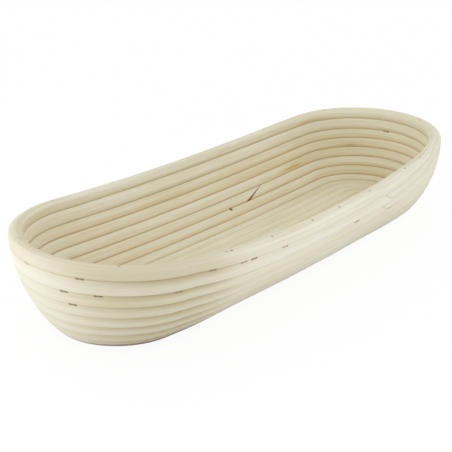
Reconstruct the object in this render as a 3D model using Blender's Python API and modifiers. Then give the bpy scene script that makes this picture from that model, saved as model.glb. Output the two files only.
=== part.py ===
"""A long oval proofing basket, wound from peeled rattan cane and nailed and stapled course to course.

Run with: blender --background --python part.py
Metres, +Z up. +X runs along the basket, and the origin is under its middle.

A straight cane lies in the middle of the floor, and one coil runs round it and up to the rim, in
five canes laid end to end. Every course keeps its distance from the one inside it, measured along
the floor and up the wall, so a place on the basket is a station round the loop and an arc from the
middle of the floor.
"""

import math

import bmesh
import bpy
import numpy as np
from mathutils import Vector

# Canes: pitch is the room that a course takes up the wall, depth is its size through the wall
CANE_PITCH = 0.0087
CANE_DEPTH = 0.0092
BAND_PITCH = 0.0103
BAND_DEPTH = 0.0098
RIM_PITCH = 0.0080
RIM_DEPTH = 0.0092
TURN_GAP = 0.00055
ROUND_END_ANGLES = (math.radians(65.0), math.radians(40.0), 0.0)

# Section of a cane: half round inside the basket, and outside a flat face with eased shoulders,
# stated as shares of half the depth and half the height
INNER_SIDES = 4
FACE_RISE = 0.74
SHOULDER_OUT = 0.62
SHOULDER_RISE = 0.97

# Floor: a middle cane with loops around it, and round ends that sit in the bends of the first loop
SPINE_HALF = 0.141
SPINE_SWEEP = 0.0047
SPINE_STEPS = 8
FLOOR_LOOPS = 4
FLOOR_MARGIN = 0.0012
FLAT_CUT = 0.0009

# Wall: it leans out most at the middle of the long sides
WALL_LOOPS = 6
CORNER_RADIUS = 0.010
CORNER_EASE = 0.0004
FOOT_LEAN = math.radians(35.0)
RIM_LEAN = math.radians(-5.0)
SIDE_LEAN = math.radians(19.0)
SIDE_POWER = 2.8
TAPER_LEAN = math.radians(-4.0)
FAR_LEAN = math.radians(1.0)

# Winding: each loop climbs one course in a short ramp on the near side, towards +X
SIDE_STEPS = 7
ARC_STEPS = 10
RAMP_SIDE_STEPS = 2
RAMP_ARC_STEPS = 2
TAIL_SHARE = 0.7
TAIL_GAP = 0.0010

# Joints: canes meet in slanted cuts, stated as run along the cane for each unit of height
SCARF_RUN = 3.0
TONGUE_RUN = 2.4
KERF = 0.0012
END_MARGIN = 0.017
FLOOR_SCARF_AT = 0.104
WALL_SCARF_AT = 0.479
WALL_SCARF_LOOP = 6

# Nails and staples: each goes down through one course into the next
NAIL_LENGTH = 0.0125
NAIL_RADIUS = 0.0007
NAIL_HEAD_RADIUS = 0.0012
NAIL_HEAD_HEIGHT = 0.0006
NAIL_POINT = 0.0015
NAIL_SUNK = 0.0004
FASTENER_CLEARANCE = 0.0003
NAIL_SIDES = 6
STAPLE_CROWN = 0.0060
STAPLE_LEG = 0.0115
STAPLE_RADIUS = 0.0005
STAPLE_SUNK = 0.0006

# Fasteners go in at the middle of the rim, and elsewhere a little behind a course's outer or inner face
MIDDLE, OUTSIDE, INSIDE = 0, -1, 1
BEHIND_FACE = 0.0013

# Fasteners of each course: kind, side, and stations in thousandths of the loop, from the near side's -X end
FASTENERS = (
    ("rim", "nail", MIDDLE, (79, 129, 167, 215, 283, 316, 403, 479, 554, 630, 706, 781, 857, 969)),
    ("rim", "staple", MIDDLE, (32, 911)),
    ("band", "staple", OUTSIDE, (14, 44, 55, 91, 925, 953)),
    (10, "staple", OUTSIDE, (198, 945, 960, 993)),
    (9, "staple", OUTSIDE, (948,)),
    (8, "staple", OUTSIDE, (995,)),
    (10, "inner_staple", INSIDE, (433,)),
    (6, "inner_nail", INSIDE, (649,)),
)

# Sizes that follow from the ones above
SIDE = 2 * SPINE_HALF
FLOOR_EDGE = FLOOR_LOOPS * CANE_PITCH + FLOOR_MARGIN
ARC = math.pi * FLOOR_EDGE
LOOP = 2 * SIDE + 2 * ARC
LAST_COURSE = FLOOR_LOOPS + WALL_LOOPS
CANE_HEIGHT = CANE_PITCH - TURN_GAP
BAND_HEIGHT = BAND_PITCH - TURN_GAP
RIM_HEIGHT = RIM_PITCH - TURN_GAP
COIL_TOP = LAST_COURSE * CANE_PITCH + CORNER_EASE + CANE_PITCH / 2
BAND_ARC = COIL_TOP + BAND_PITCH / 2
RIM_ARC = BAND_ARC + BAND_PITCH / 2 + RIM_PITCH / 2
RIM_CLIMB = (CANE_PITCH + BAND_PITCH) / 2
BASE_HEIGHT = CANE_DEPTH / 2 - FLAT_CUT
TONGUE_AT = SIDE * (1 - RAMP_SIDE_STEPS / SIDE_STEPS)
RAMP_START = TONGUE_AT + TONGUE_RUN * BAND_PITCH / 2
RAMP_LENGTH = SIDE - RAMP_START + ARC * RAMP_ARC_STEPS / ARC_STEPS


def clear_scene():
    for thing in list(bpy.data.objects):
        bpy.data.objects.remove(thing)


def make_collection(name):
    collection = bpy.data.collections.new(name)
    bpy.context.scene.collection.children.link(collection)
    return collection


def make_material(name, colour, roughness, metallic=0.0):
    material = bpy.data.materials.new(name)
    material.use_nodes = True
    shader = material.node_tree.nodes["Principled BSDF"]
    shader.inputs["Base Color"].default_value = (*colour, 1.0)
    shader.inputs["Roughness"].default_value = roughness
    shader.inputs["Metallic"].default_value = metallic
    return material


# Shape of the basket

def station(distance):
    """The place on the spine, and the direction outwards, at a distance round the loop."""
    along = distance % LOOP
    if along < SIDE:
        return along - SPINE_HALF, -math.pi / 2
    if along < SIDE + ARC:
        return SPINE_HALF, (along - SIDE) / FLOOR_EDGE - math.pi / 2
    if along < 2 * SIDE + ARC:
        return SPINE_HALF - (along - SIDE - ARC), math.pi / 2
    return -SPINE_HALF, (along - 2 * SIDE - ARC) / FLOOR_EDGE + math.pi / 2


def extra_lean(x, turn):
    """How much further than its ends the wall leans out here."""
    share = (x + FLOOR_EDGE * math.cos(turn)) / (SPINE_HALF + FLOOR_EDGE)
    side = SIDE_LEAN * (1 - abs(share) ** SIDE_POWER)
    return side + TAPER_LEAN * share + FAR_LEAN * math.sin(turn)


def wall_profile(arc, lean):
    """Radius, height and lean of the wall's middle surface at an arc from the spine."""
    if arc <= FLOOR_EDGE:
        return arc, 0.0, math.pi / 2
    foot = FOOT_LEAN + lean
    corner = CORNER_RADIUS * (math.pi / 2 - foot)
    bend = (FOOT_LEAN - RIM_LEAN) / (RIM_ARC - FLOOR_EDGE - corner)
    turned = min(arc - FLOOR_EDGE, corner) / CORNER_RADIUS
    climb = max(arc - FLOOR_EDGE - corner, 0.0)
    angle = math.pi / 2 - turned - bend * climb
    radius = FLOOR_EDGE + CORNER_RADIUS * math.sin(turned)
    height = CORNER_RADIUS * (1 - math.cos(turned))
    if climb:
        radius += (math.cos(angle) - math.cos(foot)) / bend
        height += (math.sin(foot) - math.sin(angle)) / bend
    return radius, height, angle


def spine_point(x):
    """A point on the floor's middle line, which bends a little in plan."""
    return Vector((x, SPINE_SWEEP * (x / SPINE_HALF) ** 2, BASE_HEIGHT))


def place(distance, arc, inward=0.0, rise=0.0):
    """A point in space and the wall's lean there, moved inwards and up the wall by small amounts."""
    x, turn = station(distance)
    radius, height, angle = wall_profile(arc, extra_lean(x, turn))
    radius += rise * math.sin(angle) - inward * math.cos(angle)
    height += rise * math.cos(angle) + inward * math.sin(angle)
    bearing = turn + math.atan(2 * SPINE_SWEEP * x / SPINE_HALF**2)
    offset = Vector((radius * math.cos(bearing), radius * math.sin(bearing), height))
    return spine_point(x) + offset, angle


def ramp(distance):
    """How far up its ramp a loop has climbed, from 0 to 1, easing in and out."""
    share = min(max((distance - RAMP_START) / RAMP_LENGTH, 0.0), 1.0)
    return share * share * (3 - 2 * share)


def course_arc(course):
    """The arc of a course of the coil, counted from the middle of the floor."""
    ease = CORNER_EASE if course > FLOOR_LOOPS else 0.0
    return course * CANE_PITCH + ease


def wedge_share(room, height):
    """The share of its height that a cane's thin end has, in the room beside a climbing cane."""
    return min((room - TAIL_GAP) / height, 1.0)


def coil_share(distance):
    """The coil starts as a thin end, between the middle cane and its own second loop."""
    if distance >= LOOP:
        return 1.0
    return wedge_share(CANE_PITCH * ramp(distance), CANE_HEIGHT)


def coil_arc(distance):
    """The arc of the coil's middle, which climbs one course in each loop."""
    course = int(distance // LOOP)
    if course == 0:
        return CANE_PITCH - CANE_HEIGHT / 2 * (1 - coil_share(distance))
    climbed = ramp(distance - course * LOOP)
    return course_arc(course) * (1 - climbed) + course_arc(course + 1) * climbed


def band_share(distance):
    """The band starts at the coil's height, because it lies under its own end there."""
    climbed = ramp(distance)
    return (CANE_HEIGHT * (1 - climbed) + BAND_HEIGHT * climbed) / BAND_HEIGHT


def band_arc(distance):
    """The band climbs from the coil's last course to its own."""
    climbed = ramp(distance)
    return course_arc(LAST_COURSE) * (1 - climbed) + BAND_ARC * climbed


def rim_share(distance):
    """The rim ends as a thin tail, on top of its own start."""
    if distance <= LOOP + RAMP_START:
        return 1.0
    return wedge_share(RIM_CLIMB * (1 - ramp(distance - LOOP)), RIM_HEIGHT)


def rim_arc(distance):
    """The rim climbs onto the band, runs round level, and keeps its top level to the end."""
    if distance <= LOOP + RAMP_START:
        return RIM_ARC - RIM_CLIMB * (1 - ramp(distance))
    return RIM_ARC + RIM_HEIGHT / 2 * (1 - rim_share(distance))


# Canes

def loop_stations():
    """Distances round one loop where a cane has its points, closer together in the ramp."""
    step = SIDE / SIDE_STEPS
    near = [step * i for i in range(SIDE_STEPS)]
    near += [step * (i + 0.5) for i in range(SIDE_STEPS - RAMP_SIDE_STEPS, SIDE_STEPS)]
    far = [SIDE + ARC + step * i for i in range(SIDE_STEPS)]
    ends = [SIDE + ARC / ARC_STEPS * i for i in range(ARC_STEPS)]
    ends += [2 * SIDE + ARC + ARC / ARC_STEPS * i for i in range(ARC_STEPS)]
    return sorted(near + far + ends)


def path_distances(start, end):
    """The loop's stations between two distances, keeping clear of the two cut ends."""
    loops = range(int(start // LOOP), int(end // LOOP) + 1)
    inner = [loop * LOOP + s for loop in loops for s in loop_stations()]
    return [start] + [d for d in inner if start + END_MARGIN < d < end - END_MARGIN] + [end]


def section_outline():
    """The outline of a cane in half depths and half heights: x points out of the basket, y up the wall."""
    turns = [math.pi / 2 + math.pi * i / INNER_SIDES for i in range(INNER_SIDES + 1)]
    inside = [(math.cos(turn), math.sin(turn)) for turn in turns]
    upper = [(1.0, FACE_RISE), (SHOULDER_OUT, SHOULDER_RISE)]
    lower = [(out, -rise) for out, rise in reversed(upper)]
    return upper + inside + lower


def make_section(name, height, depth, guides):
    """A cane's outline at its real size, to sweep along its path."""
    outline = section_outline()
    curve = bpy.data.curves.new(name, "CURVE")
    curve.dimensions = "2D"
    spline = curve.splines.new("POLY")
    spline.points.add(len(outline) - 1)
    for point, (out, rise) in zip(spline.points, outline):
        point.co = (depth / 2 * out, height / 2 * rise, 0.0, 1.0)
    spline.use_cyclic_u = True
    section = bpy.data.objects.new(name, curve)
    section.hide_render = True
    section.display_type = "WIRE"
    guides.objects.link(section)
    return section


def sweep_mesh(name, section, stops):
    """A mesh of the section swept along stops, each a point, the wall's lean and a share of full size."""
    curve = bpy.data.curves.new(name, "CURVE")
    curve.dimensions = "3D"
    curve.twist_mode = "Z_UP"
    curve.bevel_mode = "OBJECT"
    curve.bevel_object = section
    curve.use_fill_caps = True
    spline = curve.splines.new("POLY")
    spline.points.add(len(stops) - 1)
    for point, (middle, angle, share) in zip(spline.points, stops):
        point.co = (*middle, 1.0)
        point.tilt = angle
        point.radius = share
    return curve_mesh(name, curve)


def curve_mesh(name, curve):
    """The closed mesh of a bevelled curve, which is then removed."""
    sweep = bpy.data.objects.new(name, curve)
    bpy.context.scene.collection.objects.link(sweep)
    graph = bpy.context.evaluated_depsgraph_get()
    mesh = bpy.data.meshes.new_from_object(sweep.evaluated_get(graph))
    bpy.data.objects.remove(sweep)
    bpy.data.curves.remove(curve)
    weld(mesh)
    return mesh


def weld(mesh):
    """Joins a tube's loose caps to its sides."""
    work = bmesh.new()
    work.from_mesh(mesh)
    bmesh.ops.remove_doubles(work, verts=work.verts, dist=1e-6)
    bmesh.ops.recalc_face_normals(work, faces=work.faces)
    work.to_mesh(mesh)
    work.free()


def slant_end(mesh, distance, towards, arc_of, run):
    """Turns a square end into a slanted cut by sliding its points along the cane."""
    arc = arc_of(distance)
    middle, _ = place(distance, arc)
    up = (place(distance, arc, rise=CANE_PITCH)[0] - middle).normalized()
    along = (place(towards, arc)[0] - middle).normalized()
    along *= 1 if towards > distance else -1
    for vertex in mesh.vertices:
        offset = vertex.co - middle
        if offset.length < CANE_PITCH and abs(offset.dot(along)) < CANE_PITCH / 10:
            vertex.co -= along * (run * offset.dot(up))


def least_gap(mesh, distances):
    """The least gap between the turns of one cane, measured between the points of its surface."""
    points = np.array([vertex.co for vertex in mesh.vertices])
    ring_points = len(section_outline())
    rings = points[: len(distances) * ring_points].reshape(len(distances), -1, 3)
    least = math.inf
    for i, ring in enumerate(rings):
        others = rings[[j for j in range(len(rings)) if distances[j] - distances[i] > LOOP / 4]]
        if len(others):
            apart = np.linalg.norm(others.reshape(-1, 1, 3) - ring, axis=2)
            least = min(least, apart.min())
    return least


def add_piece(name, mesh, material, parts):
    mesh.materials.clear()
    mesh.materials.append(material)
    mesh.shade_smooth()
    piece = bpy.data.objects.new(name, mesh)
    parts.objects.link(piece)
    return piece


def full_share(distance):
    return 1.0


def make_cane(name, section, ends, arc_of, material, parts, share_of=full_share):
    """A cane of the coil between two distances, with square ends."""
    distances = path_distances(*ends)
    stops = [(*place(d, arc_of(d)), share_of(d)) for d in distances]
    mesh = sweep_mesh(name, section, stops)
    print(f"{name}: least gap to itself {least_gap(mesh, distances) * 1000:.2f} mm")
    return add_piece(name, mesh, material, parts), distances


def make_middle_cane(name, section, material, parts):
    """The straight cane of the floor, with its ends rounded off."""
    reach = CANE_HEIGHT / 2
    ends = [(SPINE_HALF + reach * math.sin(turn), math.cos(turn)) for turn in ROUND_END_ANGLES]
    step = SIDE / SPINE_STEPS
    run = [(step * i - SPINE_HALF, 1.0) for i in range(1, SPINE_STEPS)]
    rows = [(-x, share) for x, share in ends] + run + ends[::-1]
    stops = [(spine_point(x), math.pi / 2, share) for x, share in rows]
    return add_piece(name, sweep_mesh(name, section, stops), material, parts)


def cut_start(cane, distances, arc_of, run):
    slant_end(cane.data, distances[0], distances[1], arc_of, run)


def cut_end(cane, distances, arc_of, run):
    slant_end(cane.data, distances[-1], distances[-2], arc_of, run)


# Nails and staples

def nail_outline(clearance):
    """Half the outline of a wire nail grown by a clearance, head at the origin and point down."""
    head = NAIL_HEAD_RADIUS + clearance
    shank = NAIL_RADIUS + clearance
    under_head = -NAIL_HEAD_HEIGHT - clearance
    tip = -NAIL_LENGTH - clearance
    return [
        (0.0, clearance),
        (head, clearance),
        (head, under_head),
        (shank, under_head),
        (shank, tip + NAIL_POINT),
        (0.0, tip),
    ]


def nail_mesh(name, clearance):
    """A wire nail, its outline turned about Z."""
    outline = nail_outline(clearance)
    profile = bpy.data.meshes.new(name)
    edges = [(i, i + 1) for i in range(len(outline) - 1)]
    profile.from_pydata([(r, 0.0, z) for r, z in outline], edges, [])
    turned = bpy.data.objects.new(name, profile)
    bpy.context.scene.collection.objects.link(turned)
    screw = turned.modifiers.new("turn", "SCREW")
    screw.steps = NAIL_SIDES
    screw.render_steps = NAIL_SIDES
    screw.use_merge_vertices = True
    screw.merge_threshold = 1e-5
    graph = bpy.context.evaluated_depsgraph_get()
    mesh = bpy.data.meshes.new_from_object(turned.evaluated_get(graph))
    bpy.data.objects.remove(turned)
    weld(mesh)
    return mesh


def course_top(course):
    """The arc of the top of a course, and of the middle of the course below it."""
    if course == "rim":
        return RIM_ARC + RIM_HEIGHT / 2, BAND_ARC
    if course == "band":
        return BAND_ARC + BAND_HEIGHT / 2, course_arc(LAST_COURSE)
    return course_arc(course) + CANE_HEIGHT / 2, course_arc(course - 1)


def drive(course, distance, side, sunk):
    """Where a fastener enters the top of a course, and its way to the middle of the course below."""
    top, below = course_top(course)
    depth = {"rim": RIM_DEPTH, "band": BAND_DEPTH}.get(course, CANE_DEPTH)
    entry, _ = place(distance, top - sunk, inward=side * (depth / 2 - BEHIND_FACE))
    aim, _ = place(distance, below)
    return entry, (aim - entry).normalized()


def make_nail(name, course, distance, side, clearance, collection):
    """A nail standing in the top of a course."""
    entry, way = drive(course, distance, side, NAIL_SUNK)
    nail = bpy.data.objects.new(name, nail_mesh(name, clearance))
    nail.location = entry
    nail.rotation_mode = "QUATERNION"
    nail.rotation_quaternion = (-way).to_track_quat("Z", "Y")
    collection.objects.link(nail)
    return nail


def make_staple(name, course, distance, side, clearance, collection):
    """A staple of round wire: its crown lies along the course, and its two legs go down into it."""
    entry, way = drive(course, distance, side, STAPLE_SUNK)
    ahead, _ = drive(course, distance + STAPLE_CROWN / 2, side, STAPLE_SUNK)
    along = (ahead - entry) - (ahead - entry).dot(way) * way
    half_crown = along.normalized() * STAPLE_CROWN / 2
    leg = way * (STAPLE_LEG + clearance)
    ends = [entry - half_crown, entry + half_crown]
    points = [ends[0] + leg, *ends, ends[1] + leg]
    wire = bpy.data.curves.new(name, "CURVE")
    wire.dimensions = "3D"
    wire.bevel_depth = STAPLE_RADIUS + clearance
    wire.bevel_resolution = 1
    wire.use_fill_caps = True
    spline = wire.splines.new("POLY")
    spline.points.add(len(points) - 1)
    for knot, point in zip(spline.points, points):
        knot.co = (*point, 1.0)
    staple = bpy.data.objects.new(name, curve_mesh(name, wire))
    collection.objects.link(staple)
    return staple


def all_fasteners():
    """The name, course, distance, side and maker of every nail and staple."""
    for course, kind, side, stations in FASTENERS:
        label = course if isinstance(course, str) else f"course_{course}"
        maker = make_nail if kind.endswith("nail") else make_staple
        for number, thousandths in enumerate(stations, start=1):
            yield f"{label}_{kind}_{number:02d}", course, LOOP * thousandths / 1000, side, maker


# Assembly

def make_floor_plane(collection):
    """A block under the basket, which takes the canes' undersides off flat."""
    mesh = bpy.data.meshes.new("base_plane")
    work = bmesh.new()
    bmesh.ops.create_cube(work, size=1.0)
    bmesh.ops.scale(work, vec=(4 * SPINE_HALF, 2 * SPINE_HALF, CANE_PITCH), verts=work.verts)
    bmesh.ops.translate(work, vec=(0.0, 0.0, -CANE_PITCH / 2), verts=work.verts)
    work.to_mesh(mesh)
    work.free()
    block = bpy.data.objects.new("base_plane", mesh)
    block.hide_render = True
    block.display_type = "WIRE"
    collection.objects.link(block)
    return block


def cut_with_object(piece, cutter):
    modifier = piece.modifiers.new("flat_base", "BOOLEAN")
    modifier.object = cutter
    modifier.solver = "EXACT"


def cut_with_collection(piece, cutters):
    modifier = piece.modifiers.new("fastener_bores", "BOOLEAN")
    modifier.operand_type = "COLLECTION"
    modifier.collection = cutters
    modifier.solver = "EXACT"


def make_canes(parts, guides):
    coil_section = make_section("coil_section", CANE_HEIGHT, CANE_DEPTH, guides)
    band_section = make_section("band_section", BAND_HEIGHT, BAND_DEPTH, guides)
    rim_section = make_section("rim_section", RIM_HEIGHT, RIM_DEPTH, guides)
    ivory = make_material("peeled_rattan", (0.78, 0.70, 0.52), 0.55)
    pale = make_material("pale_rattan", (0.84, 0.78, 0.63), 0.5)
    coil_start = RAMP_START + (1 - TAIL_SHARE) * RAMP_LENGTH
    floor_scarf = FLOOR_LOOPS * LOOP + FLOOR_SCARF_AT
    wall_scarf = WALL_SCARF_LOOP * LOOP + WALL_SCARF_AT
    coil_end = LAST_COURSE * LOOP + TONGUE_AT
    band_end = LOOP + TONGUE_AT
    tail_end = LOOP + RAMP_START + TAIL_SHARE * RAMP_LENGTH
    gap = KERF / 2

    middle = make_middle_cane("middle_cane", coil_section, ivory, parts)

    ends = (coil_start, floor_scarf - gap)
    floor, path = make_cane("floor_coil_cane", coil_section, ends, coil_arc, ivory, parts, coil_share)
    cut_end(floor, path, coil_arc, SCARF_RUN)

    ends = (floor_scarf + gap, wall_scarf - gap)
    lower, path = make_cane("lower_wall_cane", coil_section, ends, coil_arc, ivory, parts)
    cut_start(lower, path, coil_arc, SCARF_RUN)
    cut_end(lower, path, coil_arc, SCARF_RUN)

    ends = (wall_scarf + gap, coil_end - gap)
    upper, path = make_cane("upper_wall_cane", coil_section, ends, coil_arc, ivory, parts)
    cut_start(upper, path, coil_arc, SCARF_RUN)
    cut_end(upper, path, coil_arc, TONGUE_RUN)

    ends = (TONGUE_AT + gap, band_end - gap)
    band, path = make_cane("band_cane", band_section, ends, band_arc, pale, parts, band_share)
    cut_start(band, path, band_arc, TONGUE_RUN)
    cut_end(band, path, band_arc, TONGUE_RUN)

    ends = (TONGUE_AT + gap, tail_end)
    rim, path = make_cane("rim_cane", rim_section, ends, rim_arc, pale, parts, rim_share)
    cut_start(rim, path, rim_arc, TONGUE_RUN)
    return middle, floor, lower, upper, band, rim


def make_fasteners(parts, cutters):
    """Every nail and staple, with the bore that it sits in."""
    steel = make_material("fastener_steel", (0.30, 0.24, 0.18), 0.6, 0.8)
    for name, course, distance, side, maker in all_fasteners():
        fastener = maker(name, course, distance, side, 0.0, parts)
        fastener.data.materials.clear()
        fastener.data.materials.append(steel)
        fastener.data.shade_smooth()
        bore = maker(f"{name}_bore", course, distance, side, FASTENER_CLEARANCE, cutters)
        bore.hide_render = True
        bore.display_type = "WIRE"


def centre_on_origin(objects, canes):
    """Hangs everything on one empty, which puts the middle of the basket's box over the origin."""
    bpy.context.view_layer.update()
    corners = np.array([vertex.co for cane in canes for vertex in cane.data.vertices])
    middle = (corners.min(axis=0) + corners.max(axis=0)) / 2
    frame = bpy.data.objects.new("basket_frame", None)
    frame.location = (-middle[0], -middle[1], 0.0)
    bpy.context.scene.collection.objects.link(frame)
    for thing in objects:
        thing.parent = frame
    print(f"spine middle at {-middle[0] * 1000:.2f}, {-middle[1] * 1000:.2f} mm")


def build():
    clear_scene()
    parts = make_collection("proofing_basket")
    guides = make_collection("guides")
    cutters = make_collection("fastener_bores")
    canes = make_canes(parts, guides)
    make_fasteners(parts, cutters)
    base = make_floor_plane(guides)
    middle, floor, lower, upper, band, rim = canes
    for cane in (middle, floor, lower):
        cut_with_object(cane, base)
    for cane in (lower, upper, band, rim):
        cut_with_collection(cane, cutters)
    centre_on_origin([*parts.objects, *cutters.objects, base], canes)


build()
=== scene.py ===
# %% [markdown]
# # A long oval proofing basket of peeled rattan
#
# A baker lets a long loaf rise in this basket. It is one coil of rattan cane: a straight cane lies in the
# middle of the floor, loop after loop is wound round it, and then the loops climb up the wall to a rim.
# This lesson dresses the plain solids of that basket. The solids stay where they are and carry the sizes,
# and the surfaces here stand in for them: rounder canes, real joints, wire staples and a rattan finish.

# %% Load the solids that everything is fitted to
import math

import bpy
import numpy as np
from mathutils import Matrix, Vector


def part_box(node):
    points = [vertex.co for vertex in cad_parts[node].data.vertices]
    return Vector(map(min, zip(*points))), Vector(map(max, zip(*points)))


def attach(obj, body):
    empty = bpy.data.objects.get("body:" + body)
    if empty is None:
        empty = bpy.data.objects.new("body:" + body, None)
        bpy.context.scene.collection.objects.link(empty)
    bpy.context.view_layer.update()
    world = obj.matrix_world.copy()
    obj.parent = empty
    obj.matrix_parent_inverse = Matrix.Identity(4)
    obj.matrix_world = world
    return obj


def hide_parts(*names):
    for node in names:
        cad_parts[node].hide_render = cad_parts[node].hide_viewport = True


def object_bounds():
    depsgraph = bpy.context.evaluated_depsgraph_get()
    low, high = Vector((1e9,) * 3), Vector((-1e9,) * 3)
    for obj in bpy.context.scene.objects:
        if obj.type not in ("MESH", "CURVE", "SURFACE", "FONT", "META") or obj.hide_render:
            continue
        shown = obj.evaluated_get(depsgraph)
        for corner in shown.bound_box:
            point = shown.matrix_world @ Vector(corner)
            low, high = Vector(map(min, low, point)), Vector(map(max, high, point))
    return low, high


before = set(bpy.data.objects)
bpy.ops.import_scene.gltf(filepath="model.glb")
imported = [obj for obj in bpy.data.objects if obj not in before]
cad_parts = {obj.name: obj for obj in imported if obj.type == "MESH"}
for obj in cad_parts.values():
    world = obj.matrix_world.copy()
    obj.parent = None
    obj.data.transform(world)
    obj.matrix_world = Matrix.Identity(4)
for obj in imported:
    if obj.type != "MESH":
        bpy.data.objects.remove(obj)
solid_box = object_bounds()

solid_sides = [round(1000 * side, 1) for side in solid_box[1] - solid_box[0]]
print(len(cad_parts), "solids, box", solid_sides, "mm")

# %% [markdown]
# ## The camera
#
# The view was found by fitting a pinhole camera and the basket's shape together to the groove lines of the
# photograph. Matching by eye would do for the angle, but a fit also settles the lens and the distance. The
# camera stands to the left of the near side, about 0.75 m away, with a medium long lens, so the near end
# looks clearly larger than the far one. It comes first, because every later choice is judged through it.

# %% Camera
IMAGE_SIDE = 452
SENSOR_WIDTH = 36.0
FOCAL_PIXELS = 977.605
VIEW_AZIMUTH = -0.852895
VIEW_ELEVATION = 0.391163
VIEW_DISTANCE = 0.744779
VIEW_TARGET = Vector((-0.01432, 0.01874, 0.02343))


def make_camera():
    """A camera at a distance from its target, back along the view's azimuth and elevation."""
    data = bpy.data.cameras.new("photo_camera")
    data.sensor_width = SENSOR_WIDTH
    data.lens = FOCAL_PIXELS * SENSOR_WIDTH / IMAGE_SIDE
    flat = math.cos(VIEW_ELEVATION)
    back = Vector((math.sin(VIEW_AZIMUTH) * flat, -math.cos(VIEW_AZIMUTH) * flat, math.sin(VIEW_ELEVATION)))
    camera = bpy.data.objects.new("photo_camera", data)
    camera.location = VIEW_TARGET + VIEW_DISTANCE * back
    camera.rotation_euler = back.to_track_quat("Z", "Y").to_euler()
    bpy.context.scene.collection.objects.link(camera)
    bpy.context.scene.camera = camera
    return camera


camera = make_camera()
bpy.context.scene.view_settings.view_transform = "Standard"
print("camera at", [round(v, 3) for v in camera.location], "m, lens", round(camera.data.lens, 1), "mm")

# %% [markdown]
# ## The shape of the basket
#
# Every point of the basket has two addresses: how far round the loop it lies, and how far out from the middle
# of the floor, measured along the floor and up the wall. The loop is a long slot shape: two straight sides
# and two half circles. The wall rises from the floor in a tight corner and then bends slowly upright, and it
# leans out most at the middle of the long sides. Canes could be drawn as curves by hand, but then they would
# not lie on each other, so the shape is a formula. Its sizes are those of the solids, and the new surfaces
# land on them. Only beside the near side's two bends is the plan eased by a millimetre, to be rounder.

# %% Sizes of the canes and of the basket, in metres and radians
CANE_PITCH = 0.0087
CANE_DEPTH = 0.0092
BAND_PITCH = 0.0103
BAND_DEPTH = 0.0098
RIM_PITCH = 0.0080
RIM_DEPTH = 0.0092
SOLID_GAP = 0.00055
SPINE_HALF = 0.141
SPINE_SWEEP = 0.0047
FLOOR_LOOPS = 4
WALL_LOOPS = 6
FLOOR_MARGIN = 0.0012
FLAT_CUT = 0.0009
CORNER_RADIUS = 0.010
CORNER_EASE = 0.0004
FOOT_LEAN = math.radians(35.0)
RIM_LEAN = math.radians(-5.0)
SIDE_LEAN = math.radians(19.0)
SIDE_POWER = 2.8
TAPER_LEAN = math.radians(-4.0)
FAR_LEAN = math.radians(1.0)
SIDE = 2 * SPINE_HALF
FLOOR_EDGE = FLOOR_LOOPS * CANE_PITCH + FLOOR_MARGIN
ARC = math.pi * FLOOR_EDGE
LOOP = 2 * SIDE + 2 * ARC
LAST_COURSE = FLOOR_LOOPS + WALL_LOOPS
COIL_TOP = LAST_COURSE * CANE_PITCH + CORNER_EASE + CANE_PITCH / 2
BAND_ARC = COIL_TOP + BAND_PITCH / 2
RIM_ARC = BAND_ARC + BAND_PITCH / 2 + RIM_PITCH / 2

middle_low, middle_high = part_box("middle_cane")
SPINE_X = (middle_low.x + middle_high.x) / 2
SPINE_Y = middle_low.y + (CANE_PITCH - SOLID_GAP) / 2
SPINE_Z = CANE_DEPTH / 2 - FLAT_CUT
print("one loop is", round(1000 * LOOP, 1), "mm")
print("spine at", round(1000 * SPINE_X, 2), round(1000 * SPINE_Y, 2), "mm")


# %% The loop and the wall
def station(distance):
    """Spine x and outward direction: x runs up and back along the sides, the direction turns in the arcs."""
    along = np.mod(distance, LOOP)
    right = np.clip(along - SIDE, 0, ARC)
    far = np.clip(along - SIDE - ARC, 0, SIDE)
    left = np.clip(along - 2 * SIDE - ARC, 0, ARC)
    return np.clip(along, 0, SIDE) - SPINE_HALF - far, (right + left) / FLOOR_EDGE - math.pi / 2


def extra_lean(x, turn):
    """How much more the wall leans out: most where the share along the basket is 0, least at its ends."""
    share = (x + FLOOR_EDGE * np.cos(turn)) / (SPINE_HALF + FLOOR_EDGE)
    return SIDE_LEAN * (1 - np.abs(share) ** SIDE_POWER) + TAPER_LEAN * share + FAR_LEAN * np.sin(turn)


def wall_profile(arc, lean):
    """Radius, height and lean at an arc: a flat floor, then a corner of one radius, then a slow even bend."""
    foot = FOOT_LEAN + lean
    corner = CORNER_RADIUS * (math.pi / 2 - foot)
    bend = (FOOT_LEAN - RIM_LEAN) / (RIM_ARC - FLOOR_EDGE - corner)
    past = np.maximum(arc - FLOOR_EDGE, 0)
    turned = np.minimum(past, corner) / CORNER_RADIUS
    bent = bend * np.maximum(past - corner, 0)
    bend_out = (np.cos(foot - bent) - np.cos(foot)) / bend
    bend_up = (np.sin(foot) - np.sin(foot - bent)) / bend
    radius = np.minimum(arc, FLOOR_EDGE) + CORNER_RADIUS * np.sin(turned) + bend_out
    height = CORNER_RADIUS * (1 - np.cos(turned)) + bend_up
    return radius, height, math.pi / 2 - turned - bent


_, wall_height, _ = wall_profile(RIM_ARC, 0.0)
print("wall is", round(1000 * float(wall_height), 1), "mm high at the ends")

# %% Where a point of the basket lies
EASE_OUT = 0.0012
EASE_IN = 0.0010
EASE_AT = 0.026
EASE_HALF = 0.022


def bell(distance, half, power=2):
    """A bell: e to the minus power of the distance in half widths."""
    return np.exp(-((distance / half) ** power))


def near_ease(distance):
    """How far the wall is eased beside the near bends: a bell out along the side, one in on the bend."""
    from_left = np.mod(distance + LOOP / 2, LOOP) - LOOP / 2
    into_bend = np.maximum(-from_left, from_left - SIDE)
    return EASE_OUT * bell(into_bend + EASE_AT, EASE_HALF) - EASE_IN * bell(into_bend - EASE_AT, EASE_HALF)


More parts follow.
